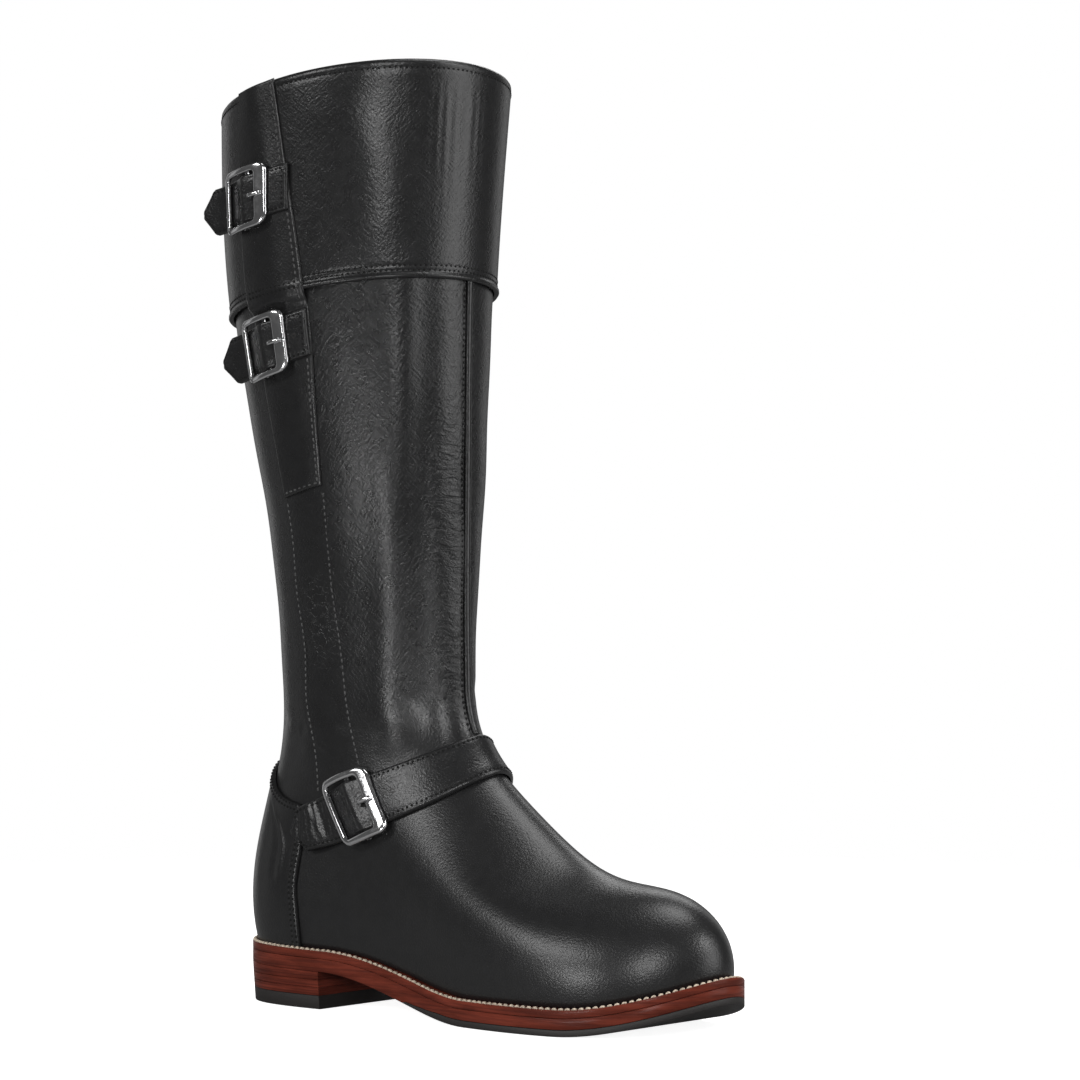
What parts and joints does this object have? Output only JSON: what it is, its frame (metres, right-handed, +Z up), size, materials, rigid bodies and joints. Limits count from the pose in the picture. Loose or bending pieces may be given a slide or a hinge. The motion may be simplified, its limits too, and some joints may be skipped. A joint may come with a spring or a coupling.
{
  "type": "tall riding boot",
  "caption": "Tall riding boot for the right foot, with an inner zip, buckled calf and ankle straps, a cuffed shaft, a stitched welt and a low stacked heel.",
  "frame": {"origin": "middle of the boot's footprint box, on the floor", "axes": "+Z up the shaft, -Y toward the toe, -X toward the outer side with the buckles"},
  "size_m": [0.1352, 0.2822, 0.4362],
  "materials": {
    "black_leather": "soft sheen, fine creases",
    "brown_leather": "burnished edge",
    "lining_leather": "matte",
    "black_rubber": "matte",
    "black_fabric": "woven tape",
    "black_metal": "satin black",
    "polished_steel": "polished"
  },
  "bodies": {
    "boot": {"upper": "black_leather", "cuff": "black_leather", "heel_counter": "black_leather", "calf_flap": "black_leather", "front_piping": "black_leather", "ankle_strap": "black_leather", "calf_strap_upper": "black_leather", "calf_strap_lower": "black_leather", "buckle_ankle": "polished_steel", "buckle_calf_upper": "polished_steel", "buckle_calf_lower": "polished_steel", "prong_ankle": "polished_steel", "prong_calf_upper": "polished_steel", "prong_calf_lower": "polished_steel", "zip": "black_fabric", "zip_slider": "black_metal", "insole": "lining_leather", "welt": "brown_leather", "outsole": "brown_leather", "forefoot_rubber": "black_rubber", "heel_lift_1": "brown_leather", "heel_lift_2": "brown_leather", "heel_lift_3": "brown_leather", "heel_top_piece": "black_rubber"},
    "pull_tab": {"zip_pull": "black_metal"}
  },
  "joints": [
    {"name": "pull_tab_hinge", "type": "hinge", "parent": "boot", "child": "pull_tab", "pos_m": [0.06625, 0.06918, 0.39905], "axis": [-0.0165, -0.9996, -0.0241], "range_deg": [0, 150]}
  ]
}
